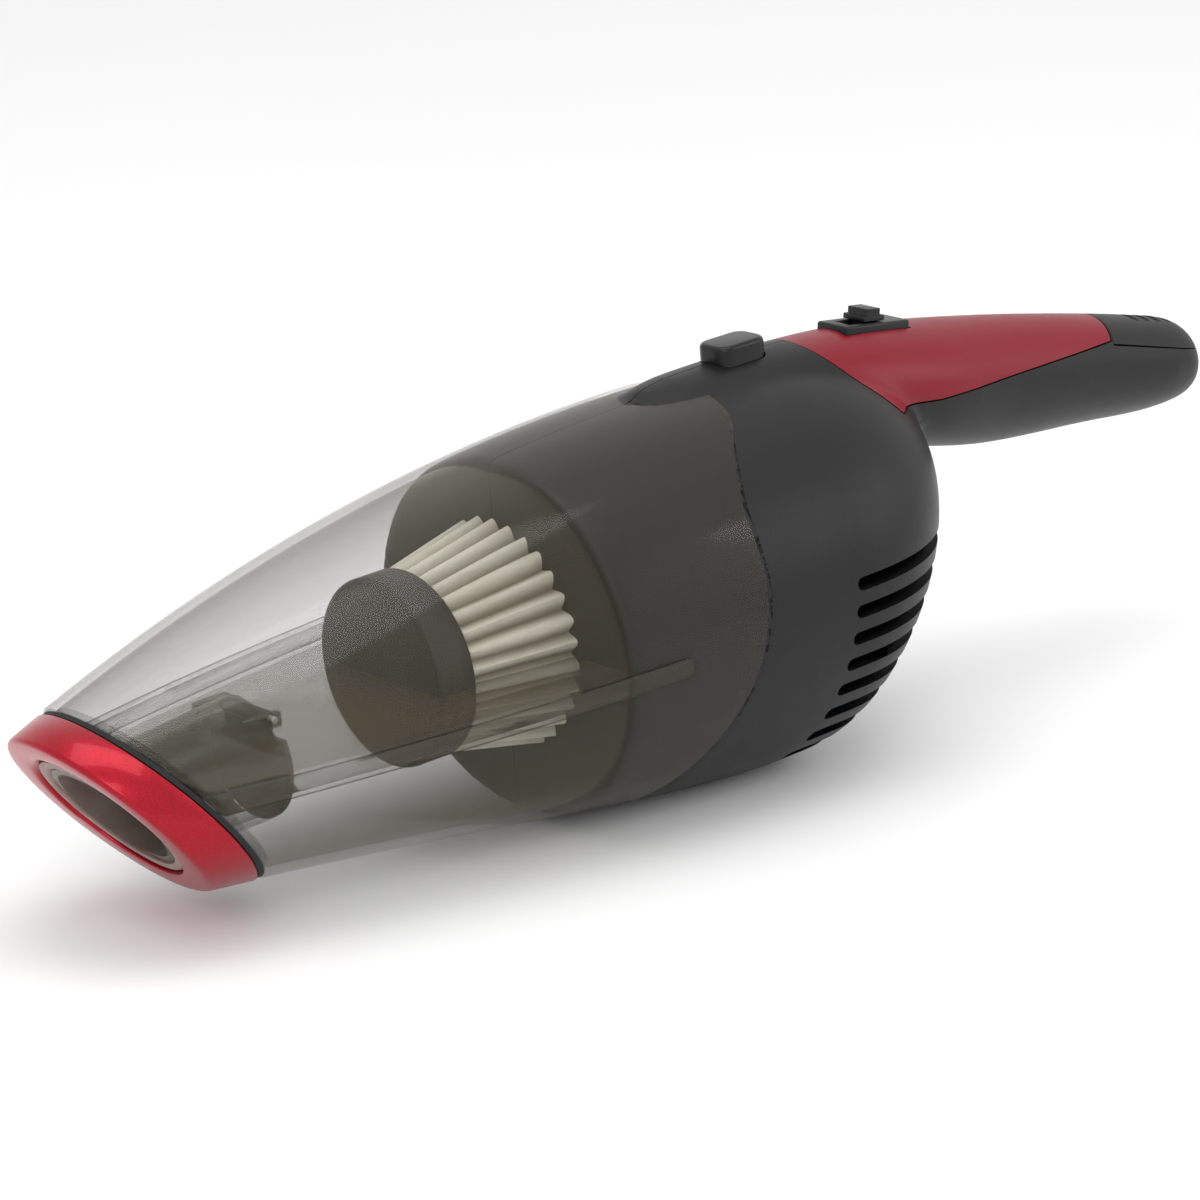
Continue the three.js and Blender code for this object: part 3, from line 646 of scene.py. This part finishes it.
def turned(profile, height):
    """A profile of (radius, x) points turned about a line along X at that height."""
    form = bmesh.new()
    line = [form.verts.new((x, 0, height + radius)) for radius, x in profile]
    edges = [form.edges.new(pair) for pair in zip(line, line[1:])]
    bmesh.ops.spin(
        form, geom=line + edges, cent=(0, 0, height), axis=(1, 0, 0), dvec=(0, 0, 0),
        angle=tau, steps=AROUND, use_merge=True, use_duplicate=False,
    )
    bmesh.ops.remove_doubles(form, verts=form.verts, dist=0.002)
    bmesh.ops.recalc_face_normals(form, faces=form.faces)
    return form


cap_black = mottled(
    "cap_black", 0.35, 55, (0.009, 0.009, 0.0095), (0.017, 0.0165, 0.016),
    gloss=(0.33, 0.16, 40, 4), grain=(2600, 2, 0.00001, 0.3),
)
roll = [(22.2 + 1.6 * cos(a), 98.9 + 1.6 * sin(a)) for a in (0, 0.4, 0.8, 1.2, pi / 2)]
cap_profile = [(0, 90), (23.2, 90), (23.6, 90.1), (23.8, 90.5), *roll, (10, 100.5), (0, 100.5)]
finished(
    turned(cap_profile, FILTER_Z), "filter_end_cap", "filter", cap_black,
    ["filter_cap"],
)
eased_copy("filter_flange", "filter", cap_black, 0.3)

# ---- Filter holder and cup seal ----------------------------------------------------------
# A dished black bulkhead inside the housing's spigot takes the cartridge. A soft ring in the
# spigot's groove seals against the inside of the cup.


def moulded(name, shade, roughness, grain=0.00004, spread=0.35):
    """Moulded plastic: spark-eroded grain, faint flow and handling marks."""
    look = Finish(name, Specular_IOR_Level=0.28)
    patches = look.noise(26, 4)
    fine = look.noise(2400, 2)
    dark = tuple(c * (1 - spread) for c in shade)
    light = tuple(c * (1 + spread) for c in shade)
    speck = look.stepped(look.noise(700, 3), 0.62, 0.72)
    tone = look.mixed(patches, dark, light)
    look.feed("Base Color", look.mixed(0.3 * speck, tone, tuple(c * 1.5 + 0.003 for c in shade)))
    look.feed("Roughness", roughness + 0.16 * (patches - 0.5) + 0.1 * (look.noise(120, 3) - 0.5))
    look.relief(fine + 0.4 * look.noise(900, 2), grain, 0.6)
    return look


holder_black = moulded("holder_black", (0.008, 0.008, 0.0085), 0.42, 0.000012)
eased_copy("filter_holder", "housing", holder_black, 0.5)

# ---- Housing halves ----------------------------------------------------------------------
# Two black ABS mouldings split along the centre line: round body, leaning rear dome, and the
# bent handle whose spine runs forward over the cup. Eight louvres cut each side.

HANDLE = [
    (-185, 7, 17.8, 5), (-183.4, 9.8, 21.2, 3), (-178.8, 12.8, 24.2, 1), (-170, 14.2, 26.8, 0.6),
    (-140, 15.2, 34.4, 3.4), (-105, 16.8, 42.2, 7), (-78, 19, 47.2, 13), (-50, 17.5, 51, 22),
    (-20, 14, 52.2, 30), (2, 11.5, 52, 36), (13, 8, 50.6, 40),
]
HANDLE_TAIL, HANDLE_HEAD, TAIL_ROUND = HANDLE[0][0], HANDLE[-1][0], 15
HANDLE_AROUND = [tau * i / 64 for i in range(64)]
TRIM_THICK, HOUSING_WALL = 2.0, 2.6
SPIGOT_REACH, SPIGOT_ROOT = 17, -4
SPIGOT_OUTER, SPIGOT_INNER = 2.7, 4.7


def handle_ring(x, inset):
    """The handle's oval section at x, drawn in by inset."""
    wide, top, bottom = eased(HANDLE, x)
    middle, half = (top + bottom) / 2, (top - bottom) / 2 - inset
    return [
        Vector((x, (wide - inset) * sin(angle), middle + half * cos(angle)))
        for angle in HANDLE_AROUND
    ]


def handle_solid(inset):
    """The whole handle, its sections close together round the tail."""
    bend = [HANDLE_TAIL + inset + TAIL_ROUND * (1 - cos(pi / 2 * i / 8)) for i in range(9)]
    run = [bend[-1] + (HANDLE_HEAD - bend[-1]) * i / 40 for i in range(1, 41)]
    return skinned([handle_ring(x, inset) for x in bend + run])


def body_back(inset, end):
    """The body from its rear dome forward to x = end."""
    depth = DOME_DEPTH - inset
    dome = [DOME_START - depth * cos(pi / 2 * i / 20) for i in range(20)]
    run = [DOME_START + (end - DOME_START) * i / 30 for i in range(31)]
    return skinned([[body_point(x, a, inset) for a in ANGLES] for x in dome + run])


def ahead_of_the_seam():
    """All that lies in front of the seam's line."""
    line = [(seam_x(z), z) for z in range(70, -71, -2)]
    return prism(line + [(260, -70), (260, 70)])


def casing():
    """The outer form of housing and handle together, with a soft fillet between them."""
    blank = placed(combined(body_back(0, 62), handle_solid(0), "UNION"))
    melt = blank.modifiers.new("melt", "REMESH")
    melt.mode = "VOXEL"
    melt.voxel_size = 1.4
    result = worked(blank)
    for _ in range(8):
        bmesh.ops.smooth_vert(
            result, verts=result.verts, factor=0.5,
            use_axis_x=True, use_axis_y=True, use_axis_z=True,
        )
    return result


shell = combined(
    casing(), combined(body_back(-0.4, 90), ahead_of_the_seam(), "INTERSECT"), "DIFFERENCE"
)
SLEEVE_STEP = (SPIGOT_REACH - SPIGOT_ROOT) / 5
sleeve = skinned(
    [seam_ring(SPIGOT_ROOT + SLEEVE_STEP * i, SPIGOT_OUTER) for i in range(6)]
    + [
        seam_ring(SPIGOT_REACH + LIP, SPIGOT_OUTER + 0.5),
        seam_ring(SPIGOT_REACH + LIP, SPIGOT_INNER - 0.4),
        seam_ring(SPIGOT_REACH, SPIGOT_INNER),
        seam_ring(SPIGOT_ROOT, SPIGOT_INNER),
    ],
    looped=True,
)
hollow = combined(
    body_back(SPIGOT_INNER, 90), handle_solid(TRIM_THICK + HOUSING_WALL), "UNION"
)
rear_hollow = combined(
    body_back(HOUSING_WALL, 64), block(-90, -10, -90, 90, -90, 90), "INTERSECT"
)
shell = combined(shell, combined(hollow, rear_hollow, "UNION"), "DIFFERENCE")
shell = combined(shell, sleeve, "UNION")

TRIM_OUTLINE = [(-34, 56), (-54, 32.5), (-74, 30), (-146, 27.2), (-159, 48), (-120, 62)]
CAP_OUTLINE = [(-146.6, 26.2), (-160, 48), (-160, 60), (-200, 60), (-200, 15), (-186, 15)]


def grown(outline, by):
    """The outline with each point moved out from its middle, along and up."""
    cx = sum(p[0] for p in outline) / len(outline)
    cz = sum(p[1] for p in outline) / len(outline)
    return [(x + (by if x > cx else -by), z + (by if z > cz else -by)) for x, z in outline]


def gathered(forms):
    """Several separate closed shapes as one."""
    whole = bmesh.new()
    spare = bpy.data.meshes.new("blank")
    for form in forms:
        form.to_mesh(spare)
        form.free()
        whole.from_mesh(spare)
    bpy.data.meshes.remove(spare)
    return whole


for outline in (TRIM_OUTLINE, CAP_OUTLINE):
    shell = combined(shell, prism(grown(outline, 0.4), -40, 40), "DIFFERENCE")

LOUVRES, LOUVRE_PITCH, LOUVRE_HALF = 8, 6.9, 1.7
louvres = []
for i in range(LOUVRES):
    z, front = 3.4 - LOUVRE_PITCH * i, -12 + 1.2 * i
    slot = [(-x, level) for x, level in capsule(-front, 90, z, LOUVRE_HALF)]
    louvres += [prism(slot, 15, 90), prism(slot, -90, -15)]
shell = combined(shell, gathered(louvres), "DIFFERENCE")


def pad(x, half_long, half_wide, corner, z0, z1, steps=6):
    """An upright block with rounded plan corners, its top edge left sharp."""
    plan = []
    for right_x, right_y, start in ((1, -1, -pi / 2), (1, 1, 0), (-1, 1, pi / 2), (-1, -1, pi)):
        cx, cy = x + right_x * (half_long - corner), right_y * (half_wide - corner)
        for i in range(steps + 1):
            turn = start + pi / 2 * i / steps
            plan.append((cx + corner * cos(turn), cy + corner * sin(turn), z0))
    return extruded(plan, (0, 0, z1 - z0))


SWITCH_TILT = Matrix.Translation((-65.5, 0, 48.6)) @ Matrix.Rotation(-0.145, 4, "Y")
BUTTON_X = -19.5


def switch_window():
    """The slot through the handle's crown that takes the switch plate."""
    form = block(-11.8, 11.8, -5.9, 5.9, -9, 12)
    bmesh.ops.transform(form, matrix=SWITCH_TILT, verts=form.verts)
    return form


shell = combined(shell, pad(BUTTON_X, 8.3, 5.9, 4, 40, 70), "DIFFERENCE")
shell = combined(shell, switch_window(), "DIFFERENCE")
shell = combined(shell, block(*CATCH_SLOT, 38, 47.6), "DIFFERENCE")
land = block(-150, 150, -100, 100, -LAND_DROP - 40, -LAND_DROP)
bmesh.ops.transform(land, matrix=Matrix.Rotation(-NOSE_DOWN, 4, "Y"), verts=land.verts)
shell = combined(shell, land, "DIFFERENCE")
shell = combined(shell, block(-90, -43.7, -5.7, 5.7, -17.7, -6.3), "DIFFERENCE")


def rod(radius, start, end, across="X", at=(0, 0), steps=32):
    """A plain rod along X at (y, z), or along Y at (x, z)."""
    form = bmesh.new()
    bmesh.ops.create_cone(
        form, cap_ends=True, cap_tris=False, segments=steps, radius1=radius, radius2=radius,
        depth=end - start,
    )
    turn = Matrix.Rotation(pi / 2, 4, "Y" if across == "X" else "X")
    middle = (start + end) / 2
    shift = (middle, *at) if across == "X" else (at[0], middle, at[1])
    bmesh.ops.transform(form, matrix=Matrix.Translation(shift) @ turn, verts=form.verts)
    return form


shell = combined(shell, rod(1.9, -90, -57.7, "X", (0, 2)), "DIFFERENCE")
SCREW_PLACES = ((-174, 12), (-116, 20), (-66, 26), (-46, -28), (30, -43))
wells = [rod(3.1, -70, -7, "Y", place, 24) for place in SCREW_PLACES]
shell = combined(shell, gathered(wells), "DIFFERENCE")

housing_black = moulded("housing_black", (0.0065, 0.0065, 0.007), 0.42, 0.00005, 0.2)
PARTING = 0.12
for side, low, high in (("left", PARTING, 90), ("right", -90, -PARTING)):
    half = combined(shell.copy(), block(-210, 130, low, high, -80, 80), "INTERSECT")
    finished(
        half, f"{side}_housing", "housing", housing_black,
        [f"housing_{side}"], 38,
    )
shell.free()

# ---- Handle trim ---------------------------------------------------------------------------
# A satin deep-red shell laid into a bed along the handle's crown, with a window for the
# switch. It is clipped from inside.


def laid_over(outline):
    """A shell over the handle inside a side-view outline, as thick as the trim."""
    core = combined(body_back(TRIM_THICK, 64), handle_solid(TRIM_THICK), "UNION")
    return combined(combined(casing(), prism(outline), "INTERSECT"), core, "DIFFERENCE")


trim_red = moulded("trim_red", (0.19, 0.0015, 0.0095), 0.38, 0.00004, 0.12)
trim = combined(laid_over(TRIM_OUTLINE), switch_window(), "DIFFERENCE")
finished(trim, "red_trim", "housing", trim_red, ["handle_trim"], 38)

# ---- Handle end cap -------------------------------------------------------------------------
# The black grip end over the tail of the handle, moulded in one piece with five grooves
# across its top, and clipped on over both housing halves.

grip_black = moulded("grip_black", (0.008, 0.008, 0.0085), 0.46, 0.00005, 0.25)
grip = laid_over(CAP_OUTLINE)
GROOVES, GROOVE_PITCH, GROOVE_FALL = 5, 4.3, 1.15
for i in range(GROOVES):
    bed = (-164.3 - GROOVE_PITCH * i, 28.6 - GROOVE_FALL * i)
    grip = combined(grip, rod(1.5, -12, 12, "Y", bed, 20), "DIFFERENCE")
finished(grip, "ribbed_grip_end", "housing", grip_black, ["handle_end_cap"], 38)

# ---- Release button and catch ----------------------------------------------------------------
# A black button over the seam presses the catch lever down against its coil spring, and the
# lever turns on a steel pin.

button_black = moulded("button_black", (0.007, 0.007, 0.0075), 0.3, 0.00002, 0.2)
BUTTON_TOP = 56.4
button = pad(BUTTON_X, 8, 5.6, 3.8, 46.4, BUTTON_TOP, 8)
top_edge = [e for e in button.edges if all(v.co.z > BUTTON_TOP - 0.4 for v in e.verts)]
bmesh.ops.bevel(
    button, geom=top_edge, offset=1.3, offset_type="OFFSET", segments=5, profile=0.5,
    affect="EDGES", clamp_overlap=True, material=-1,
)
button = combined(button, pad(BUTTON_X, 3, 2, 1.5, 42.8, 46.6), "UNION")
finished(button, "press_button", "button", button_black, ["release_button"], 40)
inner_black = moulded("inner_black", (0.018, 0.018, 0.019), 0.45)
eased_copy("catch_lever", "catch", inner_black, 0.25)

# ---- Slide switch -----------------------------------------------------------------------------
# A black moulded plate is let into the trim's window, and a stepped thumb slider runs in its
# slot. The switch case that the slider works sits below it, inside the handle.

switch_black = moulded("switch_black", (0.007, 0.007, 0.0075), 0.36, 0.00003, 0.2)
eased_copy("switch_plate", "housing", switch_black, 0.7)
eased_copy("switch_slider", "slider", switch_black, 0.5)

# ---- Inside: motor, fan, battery and electrics -------------------------------------------------
# The fan motor hangs on its mount behind the holder, three cells lie under it, and a small
# board over it carries the charging circuit. Screws close the clamshell from the right side.

nylon = moulded("nylon", (0.62, 0.6, 0.53), 0.5, 0.00003, 0.08)
sleeve_blue = moulded("sleeve_blue", (0.03, 0.14, 0.4), 0.3, 0.00002, 0.12)
board_green = moulded("board_green", (0.012, 0.1, 0.035), 0.28, 0.00003, 0.3)
lamp_lens = moulded("lamp_lens", (0.3, 0.68, 0.32), 0.14, 0.00001, 0.1)
copper = Finish("wound_copper", Metallic=1.0)
turns = copper.node(
    "ShaderNodeTexWave", "Fac", {"bands_direction": "X"},
    Vector=copper.place, Scale=420.0, Distortion=0.6,
)
copper.feed("Base Color", copper.mixed(turns, (0.30, 0.11, 0.04), (0.72, 0.34, 0.16)))
copper.feed("Roughness", 0.3 + 0.15 * copper.noise(500, 3))
copper.relief(turns, 0.0001, 0.5)

CARRIED = {
    "cup_seal": seal_rubber, "filter_gasket": seal_rubber, "filter_core": nylon,
    "switch_case": inner_black, "motor_can": steel, "motor_end_bell": nylon,
    "motor_mount": inner_black, "fan_shroud": nylon, "battery_cell_1": sleeve_blue,
    "battery_cell_2": sleeve_blue, "battery_cell_3": sleeve_blue, "battery_cradle": inner_black,
    "circuit_board": board_green, "charge_jack": inner_black, "charge_lamp": lamp_lens,
    "spring_seat": inner_black, "catch_spring": steel, "catch_pin": steel,
    "housing_screw_1": steel, "housing_screw_2": steel, "housing_screw_3": steel,
    "housing_screw_4": steel, "housing_screw_5": steel, "motor_shaft": steel,
    "motor_armature": copper, "fan_wheel": nylon,
}
for node, finish in CARRIED.items():
    held = frame["nodes"][node]
    if held.material_slots:
        for place in held.material_slots:
            place.material = finish.material
    else:
        held.data.materials.append(finish.material)

# ---- Stage: floor, lights and camera ------------------------------------------------------------
# The vacuum stands on a pale matt floor in a white room. A broad soft light hangs overhead,
# with a weaker one at the front left and one at the rear.

FLOOR_HALF = 6
pale = Finish("pale_floor", Roughness=0.9, Specular_IOR_Level=0.1)
pale.feed("Base Color", pale.mixed(pale.noise(3, 2), (0.86, 0.86, 0.86), (0.9, 0.9, 0.9)))
sheet = bmesh.new()
bmesh.ops.create_grid(sheet, x_segments=1, y_segments=1, size=FLOOR_HALF)
floor = placed(sheet, "floor")
floor.data.materials.append(pale.material)

room = bpy.data.worlds.new("white_room")
room.use_nodes = True
backdrop = room.node_tree.nodes["Background"].inputs
backdrop["Color"].default_value = (1, 1, 1, 1)
backdrop["Strength"].default_value = 0.98
bpy.context.scene.world = room


def soft_light(name, spot, aim, width, height, power):
    """A rectangular lamp at spot, turned to face aim."""
    lamp = bpy.data.lights.new(name, "AREA")
    lamp.shape = "RECTANGLE"
    lamp.size, lamp.size_y, lamp.energy = width, height, power
    held = bpy.data.objects.new(name, lamp)
    held.location = spot
    held.rotation_euler = (Vector(aim) - Vector(spot)).to_track_quat("-Z", "Y").to_euler()
    bpy.context.scene.collection.objects.link(held)


soft_light("overhead", (0.1, 0.1, 1.1), (0, 0, 0), 0.9, 0.7, 4)
soft_light("front_left", (0.9, 1.0, 0.8), (0.05, 0, 0.03), 0.5, 0.7, 3)
soft_light("rear_right", (-0.9, 0.8, 0.6), (-0.1, 0, 0.08), 0.4, 0.6, 2)

bpy.context.scene.view_settings.view_transform = "Standard"

# The view is from the front left, a little above, with a slight roll. It looks past the
# start of the body's axis by AIM metres to the left and down.
AZIMUTH, ELEVATION, ROLL = radians(48.311), radians(15.999), radians(-1.162)
DISTANCE, AIM = 1.1, (0.0229, 0.00763)
turn = (
    Matrix.Rotation(AZIMUTH + pi / 2, 4, "Z")
    @ Matrix.Rotation(pi / 2 - ELEVATION, 4, "X")
    @ Matrix.Rotation(ROLL, 4, "Z")
)
right, upward, sight = (turn.to_3x3().col[k] for k in range(3))
forward = (-sight * DISTANCE - right * AIM[0] - upward * AIM[1]).normalized()
right = (right - forward * right.dot(forward)).normalized()
upward = right.cross(forward)
lens = bpy.data.cameras.new("camera")
lens.sensor_width = 36
lens.lens = 129.69
lens.clip_start, lens.clip_end = 0.05, 20
camera = bpy.data.objects.new("camera", lens)
camera.matrix_world = Matrix.Translation(STAND.translation + sight * DISTANCE) @ Matrix(
    (right, upward, -forward)
).transposed().to_4x4()
bpy.context.scene.collection.objects.link(camera)
bpy.context.scene.camera = camera
